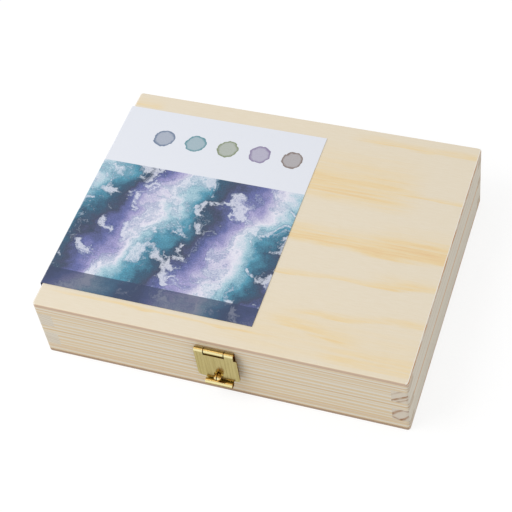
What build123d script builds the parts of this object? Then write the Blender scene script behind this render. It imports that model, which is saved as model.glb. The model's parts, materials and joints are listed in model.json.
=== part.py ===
from build123d import *
import math
import os

# Wooden watercolor box: a shallow pine case with a hinged lid, a brass front catch,
# two brass hinges on the back and five paint tubes inside. Millimetres throughout.
# +X is to the right, the front faces -Y, +Z is up, the origin is under the middle of the base.

# Case and lid
box_width = 180.0
box_depth = 141.0
box_height = 38.0
split_height = 19.0
board_thickness = 8.0
ply_thickness = 2.5
corner_radius = 1.5
edge_ease = 0.7

# Finger joints, measured away from the plane where the lid leaves the base
finger_from_split = 2.8
finger_height = 9.0

# Tube bays in the base
tube_count = 5
divider_thickness = 3.0
divider_height = 13.0
dado_depth = 2.5
dado_play = 0.1

# Paint tubes, lying with their caps towards the front
tube_radius = 9.5
tube_seat_gap = 0.1
tube_end_gap = 1.5
cap_end_gap = 11.5
crimp_width = 29.6
crimp_length = 8.0
crimp_thickness = 1.6
taper_length = 62.0
shoulder_length = 4.0
bead_height = 0.35
bead_length = 1.2
neck_radius = 4.5
cap_length = 15.0
cap_radius = 7.2
cap_front_radius = 6.6
cap_wall = 1.6
cap_shoulder_gap = 0.3
cap_thread_play = 0.08
cap_front_bevel = 0.6
cap_groove_count = 16
cap_groove_depth = 0.4
cap_groove_width = 1.0
cap_plain_rim = 1.6

# Printed card folded over the left edge of the lid
card_thickness = 0.4
card_left_gap = 0.8
card_top_width = 104.5
card_back_margin = 10.5
card_front_margin = 12.5
card_bend_radius = 1.0
card_above_split = 1.6

# Brass sheet work shared by the catch and the hinges
running_play = 0.06
wood_clearance = 0.3
knuckle_end_play = 0.2
seam_gap = 0.25

# Catch on the front, its middle a little to the right of the box's
catch_middle = 1.3
catch_sheet = 0.6
catch_knuckle_radius = 1.4
catch_axis_rise = 13.8
catch_knuckle_play = 0.45
knuckle_row_length = 18.9
flap_width = 20.4
flap_drop = 4.8
flap_corner_radius = 2.1
flap_shoulder_drop = 2.1
middle_knuckle_length = 9.4
slot_below_axis = 1.7
hole_radius = 2.25
hole_offset = 0.15
lip_width = 13.2
lip_drop = 2.4
lip_roll_radius = 1.45
lip_roll_angle = 285.0
leaf_width = 18.4
flap_seam_angle = -55.0
leaf_seam_angle = -125.0
leaf_above_split = 0.6
leaf_corner_radius = 1.5
leaf_nail_spacing = 11.4
leaf_nail_rise = 5.0

# Keeper behind the flap, with its slotted ball stud
keeper_width = 13.6
keeper_height = 6.6
keeper_below_split = 0.1
keeper_corner_radius = 1.2
keeper_nail_spacing = 9.2
keeper_nail_rise = 3.0
stud_drop = 1.7
stud_reach = 4.6
ball_radius = 1.9
stud_neck_radius = 0.95
stud_flange_radius = 1.5
stud_flange_height = 0.5
stud_tail_length = 1.2
stud_slot_width = 0.5
stud_slot_depth = 3.2

# Hinges on the back
hinge_end_margin = 26.0
hinge_width = 24.0
hinge_sheet = 0.6
hinge_knuckle_radius = 1.6
hinge_leaf_height = 9.0
hinge_corner_radius = 1.5
hinge_nail_spacing = 14.0
hinge_nail_rise = 6.0
hinge_seam_angle = 125.0

# Round-head nails, one size for the hinges and one for the catch
nail_shank_radius = 0.6
nail_head_radius = 1.25
nail_head_height = 0.55
nail_length = 6.0
nail_play = 0.05

# Places worked out from the sizes above
half_width = box_width / 2
half_depth = box_depth / 2
inside_half_width = half_width - board_thickness
inside_half_depth = half_depth - board_thickness
lid_panel_bottom = box_height - ply_thickness
base_fingers = (split_height - finger_from_split - finger_height, split_height - finger_from_split)
lid_fingers = (split_height + finger_from_split, split_height + finger_from_split + finger_height)
bay_width = (2 * inside_half_width - (tube_count - 1) * divider_thickness) / tube_count
bay_pitch = bay_width + divider_thickness
tube_axis_height = ply_thickness + tube_seat_gap + tube_radius + bead_height
catch_axis = (catch_knuckle_radius + wood_clearance, split_height + catch_axis_rise)
hinge_axis = (hinge_knuckle_radius + wood_clearance, split_height)
flap_front = catch_axis[0] + catch_knuckle_radius
flap_bottom = split_height - flap_drop
stud_height = split_height - stud_drop
knuckle_row_middle = catch_middle - (flap_width - knuckle_row_length) / 2
hinge_offset = half_width - hinge_end_margin - hinge_width / 2

box_outline = extrude(RectangleRounded(box_width, box_depth, corner_radius), box_height)

# Section planes: local x points out of the wood, local y points up
front_section = Plane(origin=(0, -half_depth, 0), x_dir=(0, -1, 0), z_dir=(-1, 0, 0))
back_section = Plane(origin=(0, half_depth, 0), x_dir=(0, 1, 0), z_dir=(1, 0, 0))


def block(x_range, y_range, z_range):
    """A box between the two limits given along each axis, in either order."""
    size = [abs(high - low) for low, high in (x_range, y_range, z_range)]
    middle = [(low + high) / 2 for low, high in (x_range, y_range, z_range)]
    return Pos(*middle) * Box(*size)


def upright_plate(face_sign, x_middle, z_range, width, out_range, radius, rounded):
    """A sheet plate standing on a front (-1) or back (+1) face, with its named corners rounded."""
    z_low, z_high = z_range
    outline = Rectangle(width, z_high - z_low)
    corners = outline.vertices()
    if rounded == "bottom":
        corners = corners.filter_by(lambda v: v.Y < 0)
    if rounded == "top":
        corners = corners.filter_by(lambda v: v.Y > 0)
    outline = fillet(corners, radius)
    out_low, out_high = out_range
    start = face_sign * (half_depth + out_low)
    plane = Plane(origin=(x_middle, start, (z_low + z_high) / 2), x_dir=(-face_sign, 0, 0),
                  z_dir=(0, face_sign, 0))
    return extrude(plane * outline, out_high - out_low)


def rod(face_sign, x, z, radius, out_range):
    """A round bar square to a front (-1) or back (+1) face."""
    out_low, out_high = out_range
    middle = face_sign * (half_depth + (out_low + out_high) / 2)
    return Pos(x, middle, z) * Rot(90, 0, 0) * Cylinder(radius, out_high - out_low)


def along_x(section_plane, sketch, length, x_middle):
    """A section drawn out evenly to both sides of x_middle."""
    return Pos(x_middle, 0, 0) * extrude(section_plane * sketch, length / 2, both=True)


def rolled_knuckle(axis, outer_radius, sheet, seam_angle):
    """Section of a sheet rolled round a pin, with the open seam at seam_angle degrees."""
    ring = Circle(outer_radius) - Circle(outer_radius - sheet)
    seam = Rot(0, 0, seam_angle) * Pos(outer_radius / 2, 0) * Rectangle(outer_radius * 1.1, seam_gap)
    return Pos(*axis) * (ring - seam)


def nail(face_sign, x, z, head_seat):
    """A round-head nail driven square into a face, its head seated head_seat above the wood."""
    head_arc = ThreePointArc((0, nail_head_height),
                             (nail_head_radius * 0.72, nail_head_height * 0.7),
                             (nail_head_radius, 0))
    tip = nail_shank_radius * 1.6
    outline = head_arc + Polyline((nail_head_radius, 0), (nail_shank_radius, 0),
                                  (nail_shank_radius, tip - nail_length), (0, -nail_length),
                                  (0, nail_head_height))
    body = revolve(make_face(Plane.XZ * outline), Axis.Z)
    seat = Plane(origin=(x, face_sign * (half_depth + head_seat), z), z_dir=(0, face_sign, 0))
    return seat * body


def nail_hole(face_sign, x, z, head_seat):
    """The pilot hole for nail(), from the sheet's outer side to just past the point."""
    return rod(face_sign, x, z, nail_shank_radius + nail_play,
               (head_seat - nail_length - nail_play, head_seat + nail_play))


# Finger-jointed frames
def long_board(face_sign, z_range, finger_range):
    """Front (-1) or back (+1) board, notched at both ends for the side boards' fingers."""
    y_range = (face_sign * half_depth, face_sign * inside_half_depth)
    board = block((-half_width, half_width), y_range, z_range)
    for side in (-1, 1):
        board -= block((side * inside_half_width, side * half_width), y_range, finger_range)
    return board & box_outline


def side_board(side, z_range, finger_range):
    """Left (-1) or right (+1) board, its finger running through to the front and back faces."""
    x_range = (side * inside_half_width, side * half_width)
    board = block(x_range, (-inside_half_depth, inside_half_depth), z_range)
    board += block(x_range, (-half_depth, half_depth), finger_range)
    return board & box_outline


def frame(prefix, z_range, finger_range):
    """The four boards of the base or of the lid."""
    return {
        prefix + "_front_board": long_board(-1, z_range, finger_range),
        prefix + "_back_board": long_board(1, z_range, finger_range),
        prefix + "_left_board": side_board(-1, z_range, finger_range),
        prefix + "_right_board": side_board(1, z_range, finger_range),
    }


def panel(z_low, eased_side):
    """Plywood panel over the whole outline, its outer rim eased on the side that shows."""
    sheet = block((-half_width, half_width), (-half_depth, half_depth), (z_low, z_low + ply_thickness))
    sheet = sheet & box_outline
    rim = sheet.faces().sort_by(Axis.Z)[eased_side].edges()
    return fillet(rim, edge_ease)


# Tube bays
def bay_middle(index):
    """X of the middle of a tube bay, counted from the left."""
    return (index - (tube_count - 1) / 2) * bay_pitch


def divider_middle(index):
    """X of the divider to the right of a bay."""
    return bay_middle(index) + bay_pitch / 2


def divider(index):
    """Thin slat housed at both ends in the front and back boards of the base."""
    middle = divider_middle(index)
    reach = inside_half_depth + dado_depth - dado_play
    top = ply_thickness + divider_height
    slat = block((middle - divider_thickness / 2, middle + divider_thickness / 2), (-reach, reach),
                 (ply_thickness, top))
    top_edges = slat.edges().filter_by(Axis.Y).group_by(Axis.Z)[-1]
    return fillet(top_edges, divider_thickness * 0.3)


def dados(face_sign):
    """The grooves that house the dividers, open at the board's lower edge."""
    half = divider_thickness / 2 + dado_play
    top = ply_thickness + divider_height + dado_play
    y_range = (face_sign * inside_half_depth, face_sign * (inside_half_depth + dado_depth))
    grooves = [block((divider_middle(i) - half, divider_middle(i) + half), y_range, (ply_thickness, top))
               for i in range(tube_count - 1)]
    return grooves


# Paint tubes
crimp_end = inside_half_depth - tube_end_gap
crimp_start = crimp_end - crimp_length
round_end = crimp_start - taper_length
cap_front = -inside_half_depth + cap_end_gap
cap_back = cap_front + cap_length
shoulder_front = cap_back + cap_shoulder_gap
shoulder_back = shoulder_front + shoulder_length
cap_bore_radius = neck_radius + cap_thread_play
cap_bore_front = cap_front + cap_wall
neck_front = cap_bore_front + cap_shoulder_gap


def paint_tube(index):
    """Collapsible metal tube: neck, sloping shoulder, round body drawn out to a folded crimp."""
    half_section = Polyline((0, neck_front), (neck_radius, neck_front), (neck_radius, shoulder_front),
                            (neck_radius + 1.2, shoulder_front), (tube_radius, shoulder_back),
                            (tube_radius + bead_height, shoulder_back),
                            (tube_radius + bead_height, shoulder_back + bead_length),
                            (tube_radius, shoulder_back + bead_length), (tube_radius, round_end),
                            (0, round_end), (0, neck_front))
    body = revolve(make_face(half_section), Axis.Y)
    flat = Plane(origin=(0, round_end, 0), x_dir=(1, 0, 0), z_dir=(0, 1, 0))
    crimp_half = crimp_width / 2
    sections = [
        flat * Circle(tube_radius),
        flat.offset(taper_length * 0.5) * Ellipse(tube_radius + (crimp_half - tube_radius) * 0.55,
                                                  tube_radius * 0.58),
        flat.offset(taper_length) * Ellipse(crimp_half, crimp_thickness / 2),
    ]
    body += loft(sections)
    fold = block((-crimp_half, crimp_half), (crimp_start - crimp_thickness, crimp_end),
                 (-crimp_thickness / 2, crimp_thickness / 2))
    body += fillet(fold.edges().filter_by(Axis.X), crimp_thickness * 0.35)
    return Pos(bay_middle(index), 0, tube_axis_height) * body


def tube_cap(index):
    """Grooved screw cap, slightly tapered, with a plain rim at its mouth and a bevelled front."""
    tapered = Polyline((0, cap_front), (cap_front_radius, cap_front),
                       (cap_radius, cap_back - cap_plain_rim), (cap_radius, cap_back), (0, cap_back),
                       (0, cap_front))
    cap = revolve(make_face(tapered), Axis.Y)
    front_rim = cap.edges().filter_by(GeomType.CIRCLE).sort_by(Axis.Y)[0]
    cap = chamfer(front_rim, cap_front_bevel)
    for step in range(cap_groove_count):
        cap -= Rot(0, 360 * step / cap_groove_count, 0) * cap_groove()
    bore_length = cap_back - cap_bore_front
    cap -= Pos(0, cap_back - bore_length / 2, 0) * Rot(90, 0, 0) * Cylinder(cap_bore_radius, bore_length)
    return Pos(bay_middle(index), 0, tube_axis_height) * cap


def cap_groove():
    """V-shaped cutter for one grip groove, lying along the cap's tapered side."""
    length = cap_length - cap_plain_rim
    lean = math.degrees(math.atan2(cap_radius - cap_front_radius, length))
    notch = Polyline((-cap_groove_depth, 0), (cap_groove_depth, cap_groove_width),
                     (cap_groove_depth, -cap_groove_width), (-cap_groove_depth, 0))
    cutter = Rot(-90, 0, 0) * extrude(make_face(notch), length)
    return Pos(cap_front_radius, cap_front, 0) * Rot(0, 0, -lean) * cutter


# Printed card
def label_card():
    """Card lying on the lid and folded down over its left edge, bowed a little off the wood."""
    half = card_thickness / 2
    top = box_height + half
    left = -half_width - card_left_gap - half
    right = card_top_width - half_width
    bend = card_bend_radius
    path = Line((right, top), (left + bend, top))
    path += CenterArc((left + bend, top - bend), bend, 90, 90)
    path += Line((left, top - bend), (left, split_height + card_above_split))
    section = Plane(origin=(0, 0, 0), x_dir=(1, 0, 0), z_dir=(0, -1, 0)) * trace(path, card_thickness)
    y_back = half_depth - card_back_margin
    y_front = -half_depth + card_front_margin
    return Pos(0, y_back, 0) * extrude(section, y_back - y_front)


# Catch
def middle_knuckle_gap():
    """Half the width of the notch that the flap leaves for the leaf's middle knuckle."""
    return middle_knuckle_length / 2 + catch_knuckle_play


def catch_flap():
    """Hanging flap: two rolled knuckles, a plate with the stud hole and an outward curled lip."""
    plate_out = (flap_front - catch_sheet, flap_front)
    flap = upright_plate(-1, catch_middle, (flap_bottom, catch_axis[1]), flap_width, plate_out,
                         flap_corner_radius, "bottom")
    section = rolled_knuckle(catch_axis, catch_knuckle_radius, catch_sheet, flap_seam_angle)
    flap -= block((knuckle_row_middle + knuckle_row_length / 2, catch_middle + flap_width / 2 + 1),
                  (-half_depth - flap_front - 1, -half_depth + 1),
                  (catch_axis[1] - flap_shoulder_drop, catch_axis[1] + 1))
    flap += along_x(front_section, section, knuckle_row_length, knuckle_row_middle)
    notch = middle_knuckle_gap()
    flap -= block((knuckle_row_middle - notch, knuckle_row_middle + notch),
                  (-half_depth - flap_front - 1, -half_depth + 1),
                  (catch_axis[1] - slot_below_axis, catch_axis[1] + catch_knuckle_radius + 1))
    flap += rolled_lip()
    hole_reach = (plate_out[0] - 1, plate_out[1] + running_play)
    return flap - rod(-1, catch_middle, stud_height - hole_offset, hole_radius, hole_reach)


def rolled_lip():
    """Tongue below the flap's lower edge, curled outward into a finger pull."""
    middle = flap_front - catch_sheet / 2
    curl_radius = lip_roll_radius - catch_sheet / 2
    curl_height = flap_bottom - lip_drop
    tongue = Line((middle, flap_bottom + catch_sheet), (middle, curl_height))
    curl = CenterArc((middle + curl_radius, curl_height), curl_radius, 180, lip_roll_angle)
    section = trace(tongue + curl, catch_sheet)
    return along_x(front_section, section, lip_width, catch_middle)


def catch_leaf():
    """Fixed leaf on the lid, rolled into the middle knuckle at its top."""
    low = split_height + leaf_above_split
    leaf = upright_plate(-1, knuckle_row_middle, (low, catch_axis[1]), leaf_width, (0, catch_sheet),
                         leaf_corner_radius, "bottom")
    for side in (-1, 1):
        shoulder = (knuckle_row_middle + side * middle_knuckle_length / 2,
                    knuckle_row_middle + side * (leaf_width / 2 + 1))
        leaf -= block(shoulder, (-half_depth - catch_sheet - 1, -half_depth + 1),
                      (catch_axis[1] - catch_knuckle_radius - wood_clearance, catch_axis[1] + 1))
    section = rolled_knuckle(catch_axis, catch_knuckle_radius, catch_sheet, leaf_seam_angle)
    leaf += along_x(front_section, section, middle_knuckle_length, knuckle_row_middle)
    for x in leaf_nail_places():
        leaf -= nail_hole(-1, x, leaf_nail_height(), catch_sheet)
    return leaf


def leaf_nail_places():
    """X of the two nails that hold the catch leaf."""
    return (knuckle_row_middle - leaf_nail_spacing / 2, knuckle_row_middle + leaf_nail_spacing / 2)


def leaf_nail_height():
    """Height of the catch leaf's nails."""
    return split_height + leaf_above_split + leaf_nail_rise


def catch_pin():
    """Pin through the three knuckles of the catch."""
    radius = catch_knuckle_radius - catch_sheet - running_play
    length = knuckle_row_length - 2 * knuckle_end_play
    return along_x(front_section, Pos(*catch_axis) * Circle(radius), length, knuckle_row_middle)


def keeper_range():
    """Lowest and highest edge of the keeper plate."""
    top = split_height - keeper_below_split
    return (top - keeper_height, top)


def keeper_nail_places():
    """X of the two nails that hold the keeper plate."""
    return (catch_middle - keeper_nail_spacing / 2, catch_middle + keeper_nail_spacing / 2)


def keeper_nail_height():
    """Height of the keeper's nails."""
    return keeper_range()[0] + keeper_nail_rise


def catch_keeper():
    """Plate nailed to the base behind the flap, pierced for the stud."""
    plate = upright_plate(-1, catch_middle, keeper_range(), keeper_width, (0, catch_sheet),
                          keeper_corner_radius, "all")
    plate -= rod(-1, catch_middle, stud_height, stud_neck_radius + nail_play, (-1, catch_sheet + 1))
    for x in keeper_nail_places():
        plate -= nail_hole(-1, x, keeper_nail_height(), catch_sheet)
    return plate


def catch_stud():
    """Turned stud with a flange, a neck and a ball head slotted so that it can squeeze."""
    neck = stud_neck_radius
    seat = catch_sheet
    join = stud_reach - math.sqrt(ball_radius ** 2 - neck ** 2)
    tip = stud_reach + ball_radius
    outline = Polyline((0, -stud_tail_length), (neck, -stud_tail_length), (neck, seat),
                       (stud_flange_radius, seat), (stud_flange_radius, seat + stud_flange_height),
                       (neck, seat + stud_flange_height), (neck, join))
    outline += ThreePointArc((neck, join), (ball_radius, stud_reach), (0, tip))
    outline += Line((0, tip), (0, -stud_tail_length))
    stud = revolve(make_face(Plane.XZ * outline), Axis.Z)
    stud -= Pos(0, 0, tip - stud_slot_depth / 2) * Box(stud_slot_width, 3 * ball_radius, stud_slot_depth)
    seat_plane = Plane(origin=(catch_middle, -half_depth, stud_height), x_dir=(1, 0, 0), z_dir=(0, -1, 0))
    return seat_plane * stud


# Hinges
def hinge_knuckle_bounds(moving):
    """X ranges, from the hinge's middle, of one leaf's knuckles: the outer pair or the middle one."""
    third = hinge_width / 3
    play = knuckle_end_play / 2
    if moving:
        return [(-third / 2 + play, third / 2 - play)]
    return [(-hinge_width / 2, -third / 2 - play), (third / 2 + play, hinge_width / 2)]


def hinge_nail_places(middle):
    """X of the nails of the hinge whose middle is given."""
    return (middle - hinge_nail_spacing / 2, middle + hinge_nail_spacing / 2)


def hinge_nail_height(up):
    """Height of the nails in the leaf above (+1) or below (-1) the pin."""
    return split_height + up * hinge_nail_rise


def hinge_leaf(middle, up):
    """Leaf on the back of the lid (+1) or of the base (-1), its tongues rolled round the pin."""
    moving = up > 0
    height = hinge_leaf_height
    root = hinge_knuckle_radius + wood_clearance
    z_range = sorted((split_height + up * root, split_height + up * height))
    leaf = upright_plate(1, middle, z_range, hinge_width, (0, hinge_sheet), hinge_corner_radius,
                         "top" if moving else "bottom")
    section = rolled_knuckle(hinge_axis, hinge_knuckle_radius, hinge_sheet, up * hinge_seam_angle)
    section += Pos(hinge_sheet / 2, split_height + up * root / 2) * Rectangle(hinge_sheet, root)
    section -= Pos(*hinge_axis) * Circle(hinge_knuckle_radius - hinge_sheet)
    for low, high in hinge_knuckle_bounds(moving):
        leaf += along_x(back_section, section, high - low, middle + (low + high) / 2)
    for x in hinge_nail_places(middle):
        leaf -= nail_hole(1, x, hinge_nail_height(up), hinge_sheet)
    return leaf


def hinge_pin(middle):
    """Pin through the knuckles of one hinge."""
    radius = hinge_knuckle_radius - hinge_sheet - running_play
    return along_x(back_section, Pos(*hinge_axis) * Circle(radius), hinge_width, middle)


# Nails, in one group for each row of them
hinge_middles = {"left": -hinge_offset, "right": hinge_offset}
nail_rows = {
    "catch_leaf_nails": [(-1, x, leaf_nail_height(), catch_sheet) for x in leaf_nail_places()],
    "keeper_nails": [(-1, x, keeper_nail_height(), catch_sheet) for x in keeper_nail_places()],
    "hinge_lid_nails": [(1, x, hinge_nail_height(1), hinge_sheet)
                        for middle in hinge_middles.values() for x in hinge_nail_places(middle)],
    "hinge_base_nails": [(1, x, hinge_nail_height(-1), hinge_sheet)
                         for middle in hinge_middles.values() for x in hinge_nail_places(middle)],
}


def pierce(board, rows):
    """Cut the pilot holes of the named nail rows out of a board."""
    for row in rows:
        for place in nail_rows[row]:
            board -= nail_hole(*place)
    return board


# Assembly
parts = {}
parts["base_panel"] = panel(0.0, 0)
parts.update(frame("base", (ply_thickness, split_height), base_fingers))
parts["lid_panel"] = panel(lid_panel_bottom, -1)
parts.update(frame("lid", (split_height, lid_panel_bottom), lid_fingers))

for face_sign, name in ((-1, "base_front_board"), (1, "base_back_board")):
    parts[name] -= dados(face_sign)
parts["base_front_board"] -= rod(-1, catch_middle, stud_height, stud_neck_radius + nail_play,
                                 (-stud_tail_length - nail_play, 1))
parts["base_front_board"] = pierce(parts["base_front_board"], ["keeper_nails"])
parts["base_back_board"] = pierce(parts["base_back_board"], ["hinge_base_nails"])
parts["lid_front_board"] = pierce(parts["lid_front_board"], ["catch_leaf_nails"])
parts["lid_back_board"] = pierce(parts["lid_back_board"], ["hinge_lid_nails"])

for index in range(tube_count - 1):
    parts[f"tube_divider_{index + 1}"] = divider(index)
for index in range(tube_count):
    parts[f"paint_tube_{index + 1}"] = paint_tube(index)
    parts[f"tube_cap_{index + 1}"] = tube_cap(index)

parts["label_card"] = label_card()
parts["catch_leaf"] = catch_leaf()
parts["catch_flap"] = catch_flap()
parts["catch_pin"] = catch_pin()
parts["catch_keeper"] = catch_keeper()
parts["catch_stud"] = catch_stud()

for side, middle in hinge_middles.items():
    parts[f"{side}_hinge_base_leaf"] = hinge_leaf(middle, -1)
    parts[f"{side}_hinge_lid_leaf"] = hinge_leaf(middle, 1)
    parts[f"{side}_hinge_pin"] = hinge_pin(middle)

for row, places in nail_rows.items():
    parts[row] = Compound(children=[nail(*place).solid() for place in places])

os.makedirs("parts", exist_ok=True)
for name, shape in parts.items():
    export_step(shape, f"parts/{name}.step")
print(len(parts), "parts written")
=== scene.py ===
"""Wooden watercolor box: pine case and lid, brass catch and hinges, printed card, five paint tubes.

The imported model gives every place. Sizes in this file are millimetres, and meshes are metres.
"""

import json
import logging
import math
from dataclasses import dataclass, replace
from enum import Enum
from typing import Iterable, Mapping, Sequence

import bmesh
import bpy
from mathutils import Matrix, Vector, noise

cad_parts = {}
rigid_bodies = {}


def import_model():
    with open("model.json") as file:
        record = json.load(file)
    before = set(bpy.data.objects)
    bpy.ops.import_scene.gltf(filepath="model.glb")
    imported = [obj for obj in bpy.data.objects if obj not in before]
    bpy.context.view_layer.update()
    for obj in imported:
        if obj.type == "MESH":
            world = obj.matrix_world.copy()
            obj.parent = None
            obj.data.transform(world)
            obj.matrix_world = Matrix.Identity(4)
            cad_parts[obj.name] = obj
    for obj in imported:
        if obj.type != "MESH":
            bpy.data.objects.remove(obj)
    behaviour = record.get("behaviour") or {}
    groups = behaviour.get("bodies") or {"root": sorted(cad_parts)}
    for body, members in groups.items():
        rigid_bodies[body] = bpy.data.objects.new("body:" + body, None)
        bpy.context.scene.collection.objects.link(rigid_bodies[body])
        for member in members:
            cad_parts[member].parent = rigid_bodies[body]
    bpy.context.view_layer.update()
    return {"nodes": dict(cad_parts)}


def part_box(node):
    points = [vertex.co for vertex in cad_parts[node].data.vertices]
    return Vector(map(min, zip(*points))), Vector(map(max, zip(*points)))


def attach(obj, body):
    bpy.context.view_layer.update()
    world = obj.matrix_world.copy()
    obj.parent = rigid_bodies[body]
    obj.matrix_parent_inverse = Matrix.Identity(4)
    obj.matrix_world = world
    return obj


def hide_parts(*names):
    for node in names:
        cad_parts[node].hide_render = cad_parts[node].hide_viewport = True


for leftover in list(bpy.data.objects):
    bpy.data.objects.remove(leftover)
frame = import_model()

log = logging.getLogger("watercolor_box")

MM = 0.001
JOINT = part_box("lid_front_board")[0].z / MM
# How much of a normal lies along an axis where a face begins to count as facing that way, and where it
# does so in full.
EDGE_START, EDGE_FULL = 0.5, 0.8
# A noise lies between 0 and 1 around this middle, and most of it between these two values.
NOISE_MIDDLE, NOISE_LOW, NOISE_HIGH = 0.5, 0.3, 0.7

Tree = bpy.types.NodeTree
Node = bpy.types.Node
Value = float | Sequence[float] | Node | bpy.types.NodeSocket


def linear(hex_colour: str) -> tuple[float, float, float, float]:
    """Turns an sRGB hex colour into Blender's linear colour.

    Args:
        hex_colour: The colour as "#RRGGBB".

    Returns:
        Linear red, green, blue and an alpha of 1.
    """
    parts = [int(hex_colour[i:i + 2], 16) / 255 for i in (1, 3, 5)]
    red, green, blue = [c / 12.92 if c <= 0.04045 else ((c + 0.055) / 1.055) ** 2.4 for c in parts]
    return (red, green, blue, 1.0)


def add(tree: Tree, kind: str, inputs: Mapping[int | str, Value] | None = None, **settings: object) -> Node:
    """Adds one node with its settings, its values and its links. Sockets go by number where a node has
    several of one name. In a map range, 1 and 2 are the range that value 0 comes from, and 3 and 4 the
    range that it goes to, or else 0 and 1. In a colour mix, 0 is the share of colour 7 over colour 6.

    Args:
        tree: The node tree that gets the node.
        kind: The node's type name.
        inputs: Values or links by socket. A node stands for its first output in use.
        settings: Attributes of the node, set before its sockets.

    Returns:
        The new node.
    """
    node = tree.nodes.new(kind)
    for name, value in settings.items():
        setattr(node, name, value)
    for key, value in (inputs or {}).items():
        socket = node.inputs[key]
        if isinstance(value, Node):
            value = next(output for output in value.outputs if output.enabled)
        if isinstance(value, bpy.types.NodeSocket):
            tree.links.new(value, socket)
        else:
            socket.default_value = value
    return node


def empty_tree(owner: bpy.types.Material | bpy.types.World) -> Tree:
    """Turns on the nodes of a material or a world and clears them.

    Args:
        owner: The material or the world.

    Returns:
        Its empty node tree.
    """
    owner.use_nodes = True
    owner.node_tree.nodes.clear()
    return owner.node_tree


def show(name: str, data: bpy.types.ID) -> bpy.types.Object:
    """Makes an object of a mesh, a lamp or a camera and links it to the scene.

    Args:
        name: The object's name.
        data: The mesh, lamp or camera.

    Returns:
        The new object.
    """
    made = bpy.data.objects.new(name, data)
    bpy.context.scene.collection.objects.link(made)
    return made


class Grain(Enum):
    """The axis that a board's fibres follow, as its index in a position."""

    ALONG_X = 0
    ALONG_Y = 1


class Pigment(Enum):
    """The paint in a tube, as the colour of its band and of its dab on the card."""

    SLATE_BLUE = "#51698A"
    TEAL = "#2F7F8C"
    MOSS = "#6F7D4E"
    MAUVE = "#7A6A94"
    UMBER = "#6B5344"


@dataclass(frozen=True)
class Finish:
    """A surface finish. Each kind paints its own nodes into the material."""

    name: str

    def material(self) -> bpy.types.Material:
        """Makes the material, or finds it where it is made already.

        Returns:
            The finish's material.
        """
        found = bpy.data.materials.get(self.name)
        if found:
            return found
        made = bpy.data.materials.new(self.name)
        tree = empty_tree(made)
        shader = add(tree, "ShaderNodeBsdfPrincipled")
        add(tree, "ShaderNodeOutputMaterial", {"Surface": shader})
        self.paint(tree, shader)
        return made

    def paint(self, tree: Tree, shader: Node) -> None:
        """Adds the finish's nodes and links them to the shader.

        Args:
            tree: The material's node tree.
            shader: Its shader.
        """
        raise NotImplementedError

    def position(self, tree: Tree, scale: Sequence[float] = (1, 1, 1)) -> Node:
        """Gives the place in the closed box's frame, in millimetres.

        Args:
            tree: The node tree.
            scale: Further factors along X, Y and Z, to draw a pattern out.

        Returns:
            The node with the scaled position.
        """
        place = add(tree, "ShaderNodeTexCoord")
        factors = [s / MM for s in scale]
        return add(tree, "ShaderNodeVectorMath", {0: place.outputs["Object"], 1: factors},
                   operation="MULTIPLY")

    def facing(self, tree: Tree) -> Node:
        """Gives the way that the surface faces, as its parts along X, Y and Z."""
        normal = add(tree, "ShaderNodeTexCoord").outputs["Normal"]
        return add(tree, "ShaderNodeSeparateXYZ", {0: normal})

    def speckle(self, tree: Tree, scale: Sequence[float], detail: float = 2.0,
                roughness: float = 0.5) -> Node:
        """Adds a noise whose grain is one over scale, in millimetres.

        Args:
            tree: The node tree.
            scale: Cycles per millimetre along X, Y and Z.
            detail: Octaves of finer noise.
            roughness: Strength of the finer octaves.

        Returns:
            The noise's node.
        """
        return add(tree, "ShaderNodeTexNoise",
                   {"Vector": self.position(tree, scale), "Scale": 1.0, "Detail": detail,
                    "Roughness": roughness})

    def relief(self, tree: Tree, shader: Node, height: Node, depth: float, strength: float = 1.0) -> None:
        """Raises the surface's shading by a height pattern.

        Args:
            tree: The node tree.
            shader: The shader that gets the normal.
            height: The pattern, from 0 to 1.
            depth: Its real height in millimetres.
            strength: How much of it shows.
        """
        bump = add(tree, "ShaderNodeBump", {"Height": height, "Distance": depth * MM, "Strength": strength})
        tree.links.new(bump.outputs[0], shader.inputs["Normal"])


@dataclass(frozen=True)
class BareWood(Finish):
    """Sanded wood without varnish: dull, with fibres faint in its colour and its relief. Real fibres are
    finer, and these are as coarse as they need to be to show."""

    fibre_strength: float = 0.13
    fibre_depth: float = 0.03
    fibre_relief: float = 0.6
    roughness: float = 0.68
    gloss: float = 0.35

    def sand(self, tree: Tree, shader: Node, colour: Node, fibre: Node) -> None:
        """Lays fibres over the wood's colour and leaves its surface dull.

        Args:
            tree: The node tree.
            shader: The shader.
            colour: The wood's colour.
            fibre: The fibres' pattern.
        """
        colour = add(tree, "ShaderNodeMix", {0: self.fibre_strength, 6: colour, 7: fibre},
                     data_type="RGBA", blend_type="OVERLAY")
        tree.links.new(colour.outputs[2], shader.inputs["Base Color"])
        shader.inputs["Roughness"].default_value = self.roughness
        shader.inputs["Specular IOR Level"].default_value = self.gloss
        self.relief(tree, shader, fibre, self.fibre_depth, self.fibre_relief)


@dataclass(frozen=True)
class Vein:
    """A darker line along a board: its height, half its width and its strength."""

    height: float
    width: float
    strength: float


@dataclass(frozen=True)
class CutRing:
    """A dark ring where a board is cut across: its radius from the pith, its width and its strength."""

    radius: float
    width: float
    strength: float


@dataclass(frozen=True)
class CutStroke:
    """A dark stroke where a board is cut across: its two ends, half its width and its strength."""

    x: float
    z: float
    end_x: float
    end_z: float
    width: float
    strength: float


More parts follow.
